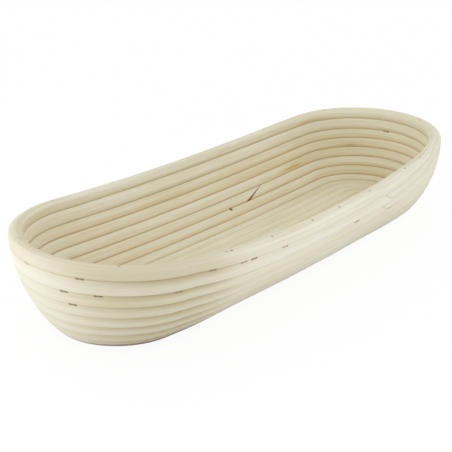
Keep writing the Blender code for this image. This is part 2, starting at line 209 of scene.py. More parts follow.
def place(distance, arc, out=0.0):
    """Points in space: the wall's middle surface at (distance, arc), moved out square to it."""
    x, turn = station(distance)
    radius, height, angle = wall_profile(arc, extra_lean(x, turn))
    radius = radius + near_ease(distance) * np.clip(arc / FLOOR_EDGE, 0, 1) ** 2
    radius = radius + out * np.cos(angle)
    height = height - out * np.sin(angle)
    bearing = turn + np.arctan(2 * SPINE_SWEEP * x / SPINE_HALF**2)
    spine_y = SPINE_Y + SPINE_SWEEP * (x / SPINE_HALF) ** 2
    along = SPINE_X + x + radius * np.cos(bearing)
    across = spine_y + radius * np.sin(bearing)
    return np.stack([along, across, SPINE_Z + height], axis=-1)


rim_ends = place(np.array([SIDE + ARC / 2, 2 * SIDE + 1.5 * ARC]), RIM_ARC)
print("rim from x", (1000 * rim_ends[:, 0]).round(1), "mm")

# %% [markdown]
# ## The climb of the coil
#
# A coil is not a stack of rings. Each loop stays level for most of its way and climbs one course in a short
# ramp on the near side. The first loop begins as a thin whittled end beside the middle cane. The band starts
# no taller than the coil and thickens as it climbs. The rim starts as tall as the band and gets thinner, and
# it ends as a feather tail on top of its own beginning. So every course lies on the one below with no gap.

# %% The ramp
TONGUE_RUN = 2.4
TONGUE_STEP, SIDE_STEPS = 5, 7
RAMP_ROUND_BEND = 0.2
TONGUE_AT = SIDE * TONGUE_STEP / SIDE_STEPS
RAMP_START = TONGUE_AT + TONGUE_RUN * BAND_PITCH / 2
RAMP_LENGTH = SIDE - RAMP_START + RAMP_ROUND_BEND * ARC


def ease(share):
    """A smooth step: three squares less two cubes of a share that is held between 0 and 1."""
    share = np.clip(share, 0, 1)
    return share * share * (3 - 2 * share)


def ramp(distance):
    """The share of a course that a loop has climbed: 0 before the ramp, 1 after it, easing in and out."""
    return ease((distance - RAMP_START) / RAMP_LENGTH)


def course_arc(course):
    """The arc of a course: one pitch for each, with a little ease for the courses past the corner."""
    return course * CANE_PITCH + CORNER_EASE * (course > FLOOR_LOOPS)


print("courses at", [round(1000 * float(course_arc(c)), 1) for c in range(1, LAST_COURSE + 1)], "mm")

# %% How far out each cane lies, and how tall and deep it is
THIN_START = 0.04
THIN_TAIL = 0.012
TAIL_DEPTH_POWER = 0.35
RIM_SKIN = 0.0099


def coil_shape(distance):
    """Arc, height and depth of the coil: two courses blended by the ramp, with a thin end in loop one."""
    course = np.floor(distance / LOOP)
    climbed = ramp(distance - course * LOOP)
    share = np.where(course < 1, np.clip(climbed, THIN_START, 1), 1)
    level = course_arc(course) * (1 - climbed) + course_arc(course + 1) * climbed
    arc = np.where(course < 1, CANE_PITCH * (1 + share) / 2, level)
    return arc, CANE_PITCH * share, CANE_DEPTH * np.sqrt(share)


def band_shape(distance):
    """Arc, height and depth of the band: the coil's last course blended into the band's own by the ramp."""
    climbed = ramp(distance)
    arc = course_arc(LAST_COURSE) * (1 - climbed) + BAND_ARC * climbed
    height = CANE_PITCH + (BAND_PITCH - CANE_PITCH) * climbed
    return arc, height, CANE_DEPTH + (BAND_DEPTH - CANE_DEPTH) * climbed


def rim_shape(distance):
    """Arc, height and depth of the rim: the band's course blended into its own, then a thinning tail."""
    climbed = ramp(distance)
    left = np.clip(1 - ramp(distance - LOOP), THIN_TAIL, 1)
    arc = BAND_ARC * (1 - climbed) + RIM_ARC * climbed + RIM_PITCH / 2 * (1 - left)
    height = (BAND_PITCH * (1 - climbed) + RIM_PITCH * climbed) * left
    depth = BAND_DEPTH * (1 - climbed) + RIM_SKIN * climbed
    return arc, height, depth * left**TAIL_DEPTH_POWER


print("band and rim at", round(1000 * BAND_ARC, 1), round(1000 * RIM_ARC, 1), "mm")

# %% [markdown]
# ## One cane
#
# Rattan core is round, but in this basket the courses are pressed together and the outside is sanded. So two
# canes meet in a broad flat joint, bulge a little towards the dough and are nearly flat outside. Only at the
# near left corner did the sanding miss: there the canes stay rounder and each hangs a little over the one
# below. A side is the bulge of a superellipse, whose two coordinates are powers of a cosine and a sine, on a
# flat core. Only the rim has a free top, which is round. Natural canes are never quite even, so a slow wave
# of sines changes the thickness by a few hundredths along the way.

# %% The section and its unevenness
AROUND = 56
UNEVEN = 0.014
UNEVEN_WAVES = (0.031, 0.057, 0.11, 0.23)
ROUND_MIDDLE = 0.788
ROUND_HALF = 0.052


def section(inner, outer, top=None):
    """Out and rise of the outline in half depths and half heights: on each side a flat core and a bulge.

    A side is its core's share and the bulge's power. A top, if given, is the powers of a free upper half."""
    turn = math.pi / 2 - (np.arange(AROUND) + 0.5) / AROUND * 2 * math.pi
    cosine, sine = np.cos(turn), np.sin(turn)
    core = np.where(cosine > 0, outer[0], inner[0])
    power = np.where(cosine > 0, outer[1], inner[1])
    if top:
        core = np.where(sine > 0, 0, core)
        power = np.where(sine > 0, np.where(cosine > 0, top[1], top[0]), power)
    out = np.sign(cosine) * (core + (1 - core) * np.abs(cosine) ** (2 / power))
    rise = np.sign(sine) * np.abs(sine) ** (2 / power)
    return out, rise


def waves(distance, lengths, seed):
    """A smooth wave between about -1 and 1: a mean of sines of the given lengths with seeded phases."""
    phases = np.random.default_rng(seed).uniform(0, 2 * math.pi, len(lengths))
    steps = 2 * math.pi * np.asarray(distance)[..., None] / np.array(lengths) + phases
    return np.sin(steps).mean(axis=-1) * math.sqrt(2)


def sanded(distance):
    """How far the outside is sanded flush, from 0 to 1: all round, but for the bend of one corner."""
    along = np.mod(distance - ROUND_MIDDLE + LOOP / 2, LOOP) - LOOP / 2
    return ease(np.abs(along) / ROUND_HALF)


COIL_OUTLINES = (section((0.70, 2.2), (0.72, 2.3)), section((0.70, 2.2), (0.95, 2.6)))
FLOOR_SECTION = section((0.91, 2.2), (0.95, 2.6))
FLOOR_OUTLINES = (FLOOR_SECTION, FLOOR_SECTION)
RIM_OUTLINES = (
    section((0.74, 2.4), (0.80, 2.4), (2.3, 2.6)),
    section((0.74, 2.4), (0.96, 2.8), (2.3, 2.5)),
)
print(AROUND, "points round a cane, round outside only near", ROUND_MIDDLE, "m along the loop")

# %% [markdown]
# ## Carrying the section along a cane
#
# A curve with a bevel would carry one section along a cane, but here the section changes on the way and the
# ends are cut. So a cane is a grid of points: rings along its length, points round each ring. Rings lie a few
# millimetres apart, and closer at its ends and where a nail or staple dents it. A slanted cut needs no
# cutting tool: near the end, the upper points of each ring take their place from a little further back along
# the loop than the lower ones, which shears the last ring into a slope. A power bends that slope where the
# joint is a tongue. Each point keeps its distance, out and rise shares, so the finish can follow the cane.

# %% Rings and grids
RING_STEP = 0.0024
FINE_REACH = 0.0055
FINE_STEP = 0.00035
CUT_FADE = 0.045
SKIN_GAP = 0.00003
OVERHANG = 0.00030


def ring_distances(start, end, fine_spots):
    """Distances of the rings: even steps between the ends, with short runs of fine steps round some spots."""
    runs = [np.linspace(start, end, int((end - start) / RING_STEP))]
    for spot in fine_spots:
        runs.append(np.arange(spot - FINE_REACH, spot + FINE_REACH, FINE_STEP))
    merged = np.unique(np.concatenate(runs))
    return merged[(merged >= start) & (merged <= end)]


def cut_slide(cut, pitch, rise_share):
    """How far a cut slides each point of a ring along the cane: half the run less a power of its height."""
    run, power = cut
    up = np.clip((rise_share + 1) / 2, 0, 1)
    return run * pitch * (0.5 - up**power)


def cane_grid(distances, shape, outlines, pitch, cuts, seed):
    """Points, coordinates and arcs of a cane: the outline at each ring's size, slid near its cut ends."""
    flush = sanded(distances)[:, None]
    out_share, rise_share = [plain + (worn - plain) * flush for plain, worn in zip(*outlines)]
    near_start = np.clip(1 - (distances - distances[0]) / CUT_FADE, 0, 1)[:, None]
    near_end = np.clip(1 - (distances[-1] - distances) / CUT_FADE, 0, 1)[:, None]
    where = distances[:, None] + near_start * cut_slide(cuts[0], pitch, rise_share)
    where = where + near_end * cut_slide(cuts[1], pitch, rise_share)
    arc, height, depth = shape(where)
    uneven = 1 + UNEVEN * waves(distances, UNEVEN_WAVES, seed)[:, None]
    overhang = OVERHANG * (1 - flush) * np.clip(out_share, 0, 1) * -rise_share
    out = depth / 2 * uneven * out_share + overhang
    points = place(where, arc + (height - SKIN_GAP) / 2 * rise_share, out)
    return points, np.stack([where, out_share, rise_share], axis=-1), arc


print("rings every", 1000 * RING_STEP, "mm, and every", 1000 * FINE_STEP, "mm at a fastener")

# %% Meshes and pieces
SHARP_EDGE = math.radians(50)


def grid_faces(rows, columns):
    """Quads between neighbouring rings, closed round each ring."""
    ring = np.arange(columns)
    first = (np.arange(rows - 1) * columns)[:, None]
    here, after = first + ring, first + (ring + 1) % columns
    return np.stack([here, after, after + columns, here + columns], axis=-1).reshape(-1, 4)


def solid_mesh(name, points):
    """A closed mesh from rings of points: quads between the rings and a flat cap at each end."""
    rows, columns = points.shape[:2]
    caps = [list(range(columns))[::-1], list(range((rows - 1) * columns, rows * columns))]
    mesh = bpy.data.meshes.new(name)
    mesh.from_pydata(points.reshape(-1, 3), [], grid_faces(rows, columns).tolist() + caps)
    mesh.shade_smooth()
    mesh.set_sharp_from_angle(angle=SHARP_EDGE)
    return mesh


def set_attribute(mesh, name, values):
    """Stores one number or one vector for each point of the mesh."""
    kind, field = ("FLOAT", "value") if values.ndim == 1 else ("FLOAT_VECTOR", "vector")
    attribute = mesh.attributes.new(name, kind, "POINT")
    attribute.data.foreach_set(field, np.ascontiguousarray(values, np.float32).ravel())


def add_piece(mesh, material, slot, *nodes):
    """Puts a mesh into the scene as a piece that rides on the basket and stands for its solids."""
    mesh.materials.append(material)
    piece = bpy.data.objects.new(mesh.name, mesh)
    bpy.context.scene.collection.objects.link(piece)
    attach(piece, "root")
    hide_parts(*nodes)


print("a ring of", AROUND, "points joins the next by", len(grid_faces(2, AROUND)), "quads")

# %% [markdown]
# ## Nails and staples: where they go
#
# Each fastener enters the top of one course and points at the middle of the course below. Staples lie along
# the joint between two courses, a little behind the face, where only the brown mark of the wire's back shows.
# Their places are read from the photograph, in thousandths of the loop. They could be made last, but the
# canes need their places first, because the wood is pressed in and stained round each one.

# %% Places of the fasteners
MIDDLE, OUTSIDE, INSIDE = 0, 1, -1
FASTENERS = (
    ("rim", "nail", MIDDLE, (79, 129, 167, 215, 283, 316, 403, 479, 554, 630, 706, 781, 857, 969)),
    ("rim", "staple", MIDDLE, (32, 911)),
    ("band", "staple", OUTSIDE, (14, 44, 55, 91, 925, 953)),
    (10, "staple", OUTSIDE, (198, 945, 960, 993)),
    (9, "staple", OUTSIDE, (948,)),
    (8, "staple", OUTSIDE, (995,)),
    (10, "inner_staple", INSIDE, (433,)),
    (6, "inner_nail", INSIDE, (649,)),
)
BOLDNESS = {
    "rim_staple_02": 0.6, "band_staple_02": 0.75, "band_staple_04": 0.8, "band_staple_05": 0.5,
    "band_staple_06": 0.8, "course_10_staple_01": 1.5, "course_9_staple_01": 0.9, "course_8_staple_01": 0.8,
}


def fastener_list():
    """One dictionary for each fastener: its node, kind, course, side, distance and how bold its mark is."""
    rows = []
    for course, kind, side, stations in FASTENERS:
        label = course if isinstance(course, str) else f"course_{course}"
        for number, thousandths in enumerate(stations, start=1):
            node = f"{label}_{kind}_{number:02d}"
            row = {"node": node, "kind": kind, "course": course, "side": side}
            rows.append({**row, "at": LOOP * thousandths / 1000, "boldness": BOLDNESS.get(node, 1.0)})
    return rows


fasteners = fastener_list()
unmatched = [row["node"] for row in fasteners if row["node"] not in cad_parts]
print(len(fasteners), "fasteners, without a solid:", unmatched)

# %% How a fastener is driven
BEHIND_FACE = 0.0013
STAPLE_CROWN = 0.0060


def course_top(course):
    """The arc of a course's top, the arc of the middle of the course below, and the course's depth."""
    if course == "rim":
        return RIM_ARC + (RIM_PITCH - SOLID_GAP) / 2, BAND_ARC, RIM_DEPTH
    if course == "band":
        return BAND_ARC + (BAND_PITCH - SOLID_GAP) / 2, course_arc(LAST_COURSE), BAND_DEPTH
    return course_arc(course) + (CANE_PITCH - SOLID_GAP) / 2, course_arc(course - 1), CANE_DEPTH


def drive(course, distance, side, sunk, behind=BEHIND_FACE):
    """Where a fastener enters a course's top, and its unit way to the middle of the course below."""
    top, below, depth = course_top(course)
    entry = place(distance, top - sunk, out=side * (depth / 2 - behind))
    way = place(distance, below) - entry
    return entry, way / np.linalg.norm(way)


def staple_ends(row, sunk, behind=BEHIND_FACE):
    """The two ends of a staple's back, square to the way that it was driven, and that way."""
    entry, way = drive(row["course"], row["at"], row["side"], sunk, behind)
    ahead, _ = drive(row["course"], row["at"] + STAPLE_CROWN / 2, row["side"], sunk, behind)
    along = ahead - entry
    along = along - (along @ way) * way
    half_crown = along / np.linalg.norm(along) * STAPLE_CROWN / 2
    return entry - half_crown, entry + half_crown, way


first_entry, first_way = drive("rim", fasteners[0]["at"], MIDDLE, 0.0)
print("first rim nail at", (1000 * first_entry).round(1), "mm, driven along", first_way.round(2))

# %% [markdown]
# ## Shader arithmetic
#
# A finish is a formula, so it reads best as one. This small class wraps an output socket. Adding, subtracting
# and multiplying two of them adds the Math nodes, and one method adds any other node.


# %% A socket that does arithmetic
class Signal:
    """A value inside a material: arithmetic on it adds Math nodes."""

    def __init__(self, tree, socket=None):
        self.tree = tree
        self.socket = socket

    def add(self, kind, settings=None, inputs=None, output=0):
        """Adds a node of a type, sets its settings, then the values or links of its sockets."""
        node = self.tree.nodes.new(kind)
        for name, value in (settings or {}).items():
            setattr(node, name, value)
        for key, value in (inputs or {}).items():
            if isinstance(value, Signal):
                self.tree.links.new(value.socket, node.inputs[key])
            else:
                node.inputs[key].default_value = value
        return Signal(self.tree, node.outputs[output])

    def math(self, operation, first, second=0.0):
        """A Math node that does one operation on two values."""
        return self.add("ShaderNodeMath", {"operation": operation}, {0: first, 1: second})

    # The operators, each with its reflected form for a plain number on the left
    def __add__(self, other):
        return self.math("ADD", self, other)

    __radd__ = __add__

    def __mul__(self, other):
        return self.math("MULTIPLY", self, other)

    __rmul__ = __mul__

    def __sub__(self, other):
        return self.math("SUBTRACT", self, other)

    def __rsub__(self, other):
        return self.math("SUBTRACT", other, self)

    def step(self, low, high):
        """0 below one value, 1 above another, easing between them."""
        settings = {"interpolation_type": "SMOOTHSTEP"}
        return self.add("ShaderNodeMapRange", settings, {"Value": self, "From Min": low, "From Max": high})

    def mix(self, low, high):
        """A colour between two, with this value as the share of the second."""
        return self.add("ShaderNodeMix", {"data_type": "RGBA"}, {0: self, 6: low, 7: high}, 2)


def new_material(name):
    """An empty material, its Principled shader and a signal to start formulas from."""
    material = bpy.data.materials.new(name)
    material.use_nodes = True
    tree = material.node_tree
    return material, tree.nodes["Principled BSDF"], Signal(tree)


def colour(red, green, blue):
    """A solid colour for a socket: red, green and blue, with an alpha of 1."""
    return (red, green, blue, 1.0)


print("a socket can now", [name for name in ("add", "math", "step", "mix") if hasattr(Signal, name)])

# %% [markdown]
# ## The rattan finish
#
# Peeled rattan is pale and matt. Close to, it has fine lengthwise pores and broader streaks, stretches of it
# are tanner than others. The grooves are browned by dust and by painted shade. Each course is painted darker
# as shade towards its lower edge inside and towards its upper edge outside, the unsanded corner is painted
# greyer as shade, and the foot is painted brown as the basket's contact shadow. A picture could be wrapped
# round the canes, but it would repeat itself along a coil of eight metres.
# Slow changes of tone and the stains round wire are worked out with the shape and stored on the points.

# %% Colours and strengths of the rattan
STAIN_BROWN = colour(0.205, 0.105, 0.022)
FLECK_BROWN = colour(0.40, 0.29, 0.16)
# Outside, the grooves and the shaded edges of the courses take this colour: dust and painted shade
OUTSIDE_GROOVE = colour(0.47, 0.385, 0.22)
# Painted shade: a grey that darkens the unsanded round corner, where less light falls
CORNER_SHADE_GREY = colour(0.60, 0.56, 0.44)
# Painted contact shadow: brown on the basket's foot, less where it is sanded flush
BASE_SHADOW_BROWN = colour(0.22, 0.16, 0.10)
BASE_HEIGHTS = (0.0050, 0.0036)
BASE_SHADOW_SHARE, BASE_SANDED = 0.95, 0.40
ROUGHNESS, ROUGHNESS_SPREAD = 0.65, 0.25
SPECULAR = 0.2

# Each grain: how much finer than a metre along the cane, than a half section across it, and its detail
STREAK_GRAIN = (12.0, 2.2, 3.0)
PORE_GRAIN = (36.0, 9.0, 2.0)
FLECK_GRAIN = (120.0, 16.0, 1.0)
GRAIN_ROUGHNESS = 0.6
STREAK_WARMTH, PORE_WARMTH, INSIDE_WARMTH = 2.6, 1.7, 0.18
TAN_RANGE, AMBER_RANGE, FLECK_RANGE = (-0.85, 1.05), (1.0, 2.4), (0.68, 0.76)
FLECK_STRENGTH = 0.25
STREAK_HEIGHT, PORE_HEIGHT = 0.4, 0.6
BUMP_STRENGTH, BUMP_DISTANCE = 0.25, 0.0004

# Ranges of the rise share, -1 at the joint below and 1 at the joint above, and of the out share
LOWER_EDGE, UPPER_EDGE = (-0.86, -0.99), (0.90, 0.99)
LOWER_SHADE, UPPER_SHADE, LIP_SHADE = (-0.1, -0.95), (-0.2, 1.0), (-0.74, -0.95)
INSIDE_RANGE = (0.12, -0.12)
# Strengths of the groove dust and painted shade, and of the painted shade below, above and at the lip of each
# course
EDGE_DUST_AND_SHADE, EDGE_DUST_AND_SHADE_INSIDE, LOWER_SHADE_STRENGTH = 0.20, 0.31, 0.33
UPPER_SHADE_EXPOSED, UPPER_SHADE_OUTSIDE, LIP_SHADE_STRENGTH = 0.75, 0.10, 0.90
CORNER_SHADE_SHARE = 0.5
print("grain", STREAK_GRAIN, PORE_GRAIN, FLECK_GRAIN)


# %% Rattan
def rattan(name, cream, tan, amber, groove, dust_and_shade_amount, top_dust_and_shade):
    """Cream, tan, amber by tone, streaks and pores, greyed and browned by painted shade in the grooves, along
    each course, on the unsanded corner and at the foot, browned by groove dust and stains, with fibres as
    bump.
    """
    material, shader, start = new_material(name)
    cane = start.add("ShaderNodeAttribute", {"attribute_name": "cane"}, output="Vector")
    tone_and_light = start.add("ShaderNodeAttribute", {"attribute_name": "tone_and_light"}, output="Fac")
    stain = start.add("ShaderNodeAttribute", {"attribute_name": "stain"}, output="Fac")
    flush = start.add("ShaderNodeAttribute", {"attribute_name": "flush"}, output="Fac")
    rise = start.add("ShaderNodeSeparateXYZ", None, {0: cane}, 2)
    out = start.add("ShaderNodeSeparateXYZ", None, {0: cane}, 1)

    def grain(along, across, detail):
        """Noise in the cane's coordinates, stretched along it."""
        scale = {0: cane, 1: (along, across, across)}
        stretched = start.add("ShaderNodeVectorMath", {"operation": "MULTIPLY"}, scale)
        noise = {"Vector": stretched, "Scale": 1.0, "Detail": detail, "Roughness": GRAIN_ROUGHNESS}
        return start.add("ShaderNodeTexNoise", None, noise)

    streaks = grain(*STREAK_GRAIN)
    pores = grain(*PORE_GRAIN)
    flecks = grain(*FLECK_GRAIN).step(*FLECK_RANGE)
    inside = out.step(*INSIDE_RANGE)
    exposed = (1 - inside) * (1 - flush)

    warmth = tone_and_light + (streaks - 0.5) * STREAK_WARMTH + (pores - 0.5) * PORE_WARMTH + INSIDE_WARMTH * inside
    body = warmth.step(*TAN_RANGE).mix(colour(*cream), colour(*tan))
    body = warmth.step(*AMBER_RANGE).mix(body, colour(*amber))
    # Painted shade: the unsanded corner is greyed
    body = (exposed * CORNER_SHADE_SHARE).mix(body, CORNER_SHADE_GREY)

    # Dust and painted shade in the grooves, and painted shade along each course, all mixed towards the groove
    # colour
    edge = rise.step(*LOWER_EDGE) + top_dust_and_shade * rise.step(*UPPER_EDGE)
    # Painted shade: inside, each course darkens towards its lower edge, which faces down
    lower_shade = rise.step(*LOWER_SHADE) * inside * LOWER_SHADE_STRENGTH
    # Painted shade: outside, each course darkens towards its upper edge, under the course above, most on the
    # unsanded corner
    upper_outside = exposed * UPPER_SHADE_EXPOSED + (1 - inside) * UPPER_SHADE_OUTSIDE
    upper_shade = top_dust_and_shade * rise.step(*UPPER_SHADE) * upper_outside
    # Painted shade: on the unsanded corner each course darkens at its lower lip
    lip_shade = rise.step(*LIP_SHADE) * exposed * LIP_SHADE_STRENGTH
    dust_and_shade = edge * (EDGE_DUST_AND_SHADE + EDGE_DUST_AND_SHADE_INSIDE * inside) + lower_shade + upper_shade + lip_shade
    dusty_and_shaded = (dust_and_shade * dust_and_shade_amount).mix(body, inside.mix(OUTSIDE_GROOVE, colour(*groove)))
    flecked = (flecks * FLECK_STRENGTH).mix(dusty_and_shaded, FLECK_BROWN)

    # Painted contact shadow: the foot is browned below about 4 to 5 mm above the table
    where = start.add("ShaderNodeTexCoord", output="Object")
    base = start.add("ShaderNodeSeparateXYZ", None, {0: where}, 2).step(*BASE_HEIGHTS)
    worn = (base * (BASE_SHADOW_SHARE - BASE_SANDED * flush)).mix(flecked, BASE_SHADOW_BROWN)
    stained = stain.step(0.0, 1.0).mix(worn, STAIN_BROWN)
    start.tree.links.new(stained.socket, shader.inputs["Base Color"])

    shine = ROUGHNESS + (pores - 0.5) * ROUGHNESS_SPREAD
    start.tree.links.new(shine.socket, shader.inputs["Roughness"])
    fibres = {"Height": pores * PORE_HEIGHT + streaks * STREAK_HEIGHT}
    bump = start.add("ShaderNodeBump", None, {"Strength": BUMP_STRENGTH, "Distance": BUMP_DISTANCE, **fibres})
    start.tree.links.new(bump.socket, shader.inputs["Normal"])
    shader.inputs["Specular IOR Level"].default_value = SPECULAR
    return material


# Cream, tan, amber, and the colour of the groove dust and painted shade inside
COIL_COLOURS = ((0.81, 0.785, 0.655), (0.695, 0.628, 0.412), (0.62, 0.42, 0.19), (0.62, 0.43, 0.19))
PALE_COLOURS = ((0.82, 0.795, 0.690), (0.71, 0.645, 0.455), (0.64, 0.47, 0.25), (0.58, 0.46, 0.25))
RIM_COLOURS = ((0.78, 0.755, 0.645), (0.65, 0.590, 0.405), (0.62, 0.45, 0.24), (0.58, 0.46, 0.25))
floor_rattan = rattan("floor_rattan", *COIL_COLOURS, dust_and_shade_amount=0.45, top_dust_and_shade=1.0)
coil_rattan = rattan("coil_rattan", *COIL_COLOURS, dust_and_shade_amount=1.0, top_dust_and_shade=1.0)
band_rattan = rattan("band_rattan", *PALE_COLOURS, dust_and_shade_amount=1.0, top_dust_and_shade=1.0)
rim_rattan = rattan("rim_rattan", *RIM_COLOURS, dust_and_shade_amount=1.0, top_dust_and_shade=0.0)
print("rattan finishes:", floor_rattan.name, coil_rattan.name, band_rattan.name, rim_rattan.name)

# %% [markdown]
# ## Tone, dents and stains
# Round the outside the tone also holds painted light and shade: paler at the left end and along the near
# side, and a little tanner at the round front corner.
#
# Tone is a slow wave along the cane, so neighbouring courses differ as they do on the real basket, where they
# are nearly a metre apart on one cane. A few warm patches are put in where the photograph shows them.
# Stains are dark spots round nails, along the back of a staple and on each cut end. They could be textures,
# but their places come from the fasteners, so they are worked out on the points together with the dents.

# %% Tone
TONE_WAVES = (0.09, 0.19, 0.47, 1.13, 2.3)
TONE_SPREAD = 0.24
# Painted light and shade round the outside, by distance along the loop: paler where the lamps fall, tanner at
# the front corner
OUTSIDE_LIGHT_AT = (0.0, 0.020, 0.060, 0.250, 0.330, 0.620, 0.690, 0.738, 0.756, 0.775)
OUTSIDE_LIGHT_TONE = (0.05, -0.15, -0.30, -0.30, -0.20, -0.1, -0.6, -0.6, -0.1, 0.10)


def tone_of(distances, out_share, rise_share, seed, patches):
    """The tone of each point: slow waves along the cane, painted light and shade round the outside, and a
    bell for each patch.
    """
    tone_and_light = TONE_SPREAD * np.repeat(waves(distances, TONE_WAVES, seed)[:, None], AROUND, axis=1)
    painted_light_tone = np.interp(np.mod(distances, LOOP), OUTSIDE_LIGHT_AT, OUTSIDE_LIGHT_TONE, period=LOOP)
    tone_and_light = tone_and_light + painted_light_tone[:, None] * np.clip(out_share, 0, 1)
    for middle, half, strength, rise, rise_half in patches:
        along = bell(distances - middle, half)[:, None]
        tone_and_light = tone_and_light + strength * along * bell(rise_share - rise, rise_half)
    return tone_and_light


print("tone waves", TONE_WAVES, "m")

# %% Dents and stains of the fasteners
NAIL_SUNK = 0.0004
NAIL_NEAR = 0.003
NAIL_DENT = 0.0003
NAIL_DENT_HALF = 0.0010
NAIL_STAIN = 0.0008
SIDE_NAIL_STAIN = 0.0016
STAPLE_DENT = 0.0002
STAPLE_DENT_HALF = 0.0008
STAPLE_STAIN = 0.0009
JOINT_SUNK = -0.0001
MARK_BEHIND = 0.0003
MARK_SHARE = 0.66
BETWEEN_HOLES, BETWEEN_RIM_HOLES = 0.70, 0.15
LIFT_ABOVE = -0.25


def press_nail(points, row):
    """Pushes the wood down round a nail's head by a bell, and returns the stain that it leaves."""
    entry, way = drive(row["course"], row["at"], row["side"], NAIL_SUNK, MARK_BEHIND)
    offset = points - entry
    if row["side"] != MIDDLE:
        return bell(np.linalg.norm(offset, axis=-1), SIDE_NAIL_STAIN, 4)
    along = offset @ way
    reach = np.linalg.norm(offset - along[..., None] * way, axis=-1)
    near = np.abs(along) < NAIL_NEAR
    points += (NAIL_DENT * near * bell(reach, NAIL_DENT_HALF, 4))[..., None] * way
    return near * bell(reach, NAIL_STAIN)


def press_staple(points, row, side):
    """Opens the joint over a staple's back: the wood goes down or up by its side, and turns brown."""
    first, second, way = staple_ends(row, JOINT_SUNK, MARK_BEHIND)
    line = MARK_SHARE * (second - first)
    first = (first + second - line) / 2
    share = np.clip((points - first) @ line / (line @ line), 0, 1)
    reach = np.linalg.norm(points - (first + share[..., None] * line), axis=-1)
    dent = row["boldness"] * STAPLE_DENT * bell(reach, STAPLE_DENT_HALF, 4)
    points += (dent * side)[..., None] * way
    ends = np.abs(share - 0.5) * 2
    between = BETWEEN_RIM_HOLES if row["course"] == "rim" else BETWEEN_HOLES
    return row["boldness"] * (between + (1 - between) * ends**3) * bell(reach, STAPLE_STAIN)


def press_fasteners(points, arc):
    """The largest stain of all fasteners: a staple's side is 1 below its joint and a small minus above."""
    stain = np.zeros(points.shape[:2])
    for row in fasteners:
        if row["kind"].endswith("nail"):
            mark = press_nail(points, row)
        else:
            side = np.where(arc < course_top(row["course"])[0], 1.0, LIFT_ABOVE)
            mark = press_staple(points, row, side)
        stain = np.maximum(stain, mark)
    return stain


print("marks are", round(1000 * MARK_SHARE * STAPLE_CROWN, 1), "mm long at a staple")

# %% [markdown]
# ## The six canes
#
# Now the canes themselves. The coil is three canes joined by long slanted cuts, as the real basket shows on
# its far inside wall, where the joint stands open as a brown wedge. The band is a thicker cane under the rim,
# and the rim is the last one. Both start in shorter cuts that look like tongues. One function makes all five,
# so that a change to the finish reaches each of them.

# %% Cut ends
SCARF_KERF = 0.0003
TONGUE_KERF = 0.0001
SQUARE = (0.0, 1.0)
SCARF = (3.0, 1.0)
TONGUE = (TONGUE_RUN, 0.56)
CUT_STAIN = 0.0006
# The scarf's wedge: the brown of the cut and the painted shade of an open joint, painted on a joint that is
# nearly closed
WEDGE_FOOT = 0.0044
WEDGE_HEAD = 0.0005
WEDGE_EDGE = 0.0004


def cut_stain(distances, ends):
    """A brown edge that fades away from each cut end."""
    first = np.exp((distances[0] - distances) / CUT_STAIN)
    last = np.exp((distances - distances[-1]) / CUT_STAIN)
    return np.clip(ends[0] * first + ends[1] * last, 0, 1)


def wedge_stain_and_shade(distances, out_share, rise_share):
    """Brown painted on the inside at a cane's nearly closed end: the brown of the cut and the painted shade
    of an open joint, a wedge that is wide at its foot.
    """
    up = (rise_share + 1) / 2
    width = WEDGE_FOOT + (WEDGE_HEAD - WEDGE_FOOT) * up
    left = (distances[-1] - distances)[:, None]
    return np.clip((width - left) / WEDGE_EDGE + 0.5, 0, 1) * (out_share < 0)


print("a scarf runs", round(1000 * SCARF[0] * CANE_PITCH, 1), "mm along a cane")


# %% Making a cane
def fine_spots(start, end, shape):
    """Distances on a cane beside a fastener: those of every loop, where the cane is within a course of it."""
    at = np.array([row["at"] for row in fasteners])[:, None] + LOOP * np.arange(LAST_COURSE + 2)
    top = np.array([course_top(row["course"])[0] for row in fasteners])[:, None]
    beside = (at > start) & (at < end) & (np.abs(shape(at)[0] - top) < CANE_PITCH)
    return at[beside]


def flat_base(points):
    """Sands off what reaches below the table."""
    points[..., 2] = np.maximum(points[..., 2], 0)


def store_cane(mesh, coordinates, tone_and_light, stain, flush):
    """Stores what the finish reads on the points: cane coordinates, tone with painted light and shade, stain
    with the painted shade of the scarf's wedge, and sanding.
    """
    set_attribute(mesh, "cane", coordinates.reshape(-1, 3))
    set_attribute(mesh, "tone_and_light", tone_and_light.reshape(-1))
    set_attribute(mesh, "stain", stain.reshape(-1))
    set_attribute(mesh, "flush", flush.reshape(-1))


def make_cane(node, ends, shape, outlines, pitch, cuts, stains, finish, seed, patches=(), wedge=0.0):
    """A finished cane: its grid, pressed by fasteners, with tone and stains stored on the points."""
    distances = ring_distances(*ends, [*ends, *fine_spots(*ends, shape)])
    points, coordinates, arc = cane_grid(distances, shape, outlines, pitch, cuts, seed)
    out_share, rise_share = coordinates[..., 1], coordinates[..., 2]
    stain = np.maximum(press_fasteners(points, arc), cut_stain(distances, stains)[:, None])
    # The scarf's wedge adds the brown of the cut and the painted shade of an open joint
    stain = np.maximum(stain, wedge * wedge_stain_and_shade(distances, out_share, rise_share))
    flat_base(points)
    mesh = solid_mesh(node.replace("cane", "rattan"), points)
    tone_and_light = tone_of(distances, out_share, rise_share, seed, patches)
    store_cane(mesh, coordinates, tone_and_light, stain, np.repeat(sanded(distances), AROUND))
    material, slot = finish
    add_piece(mesh, material, slot, node)
    low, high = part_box(node)
    print(mesh.name, len(distances), "rings, solid", (1000 * (high - low)).to_tuple(1), "mm")


COIL_FINISH = (coil_rattan, "rattan")
print("one function for", [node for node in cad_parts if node.endswith("cane")])

# %% Floor coil, lower wall and upper wall
FLOOR_SCARF = FLOOR_LOOPS * LOOP + 0.104
WALL_SCARF = 6 * LOOP + 0.479
COIL_BEGIN = 0.05

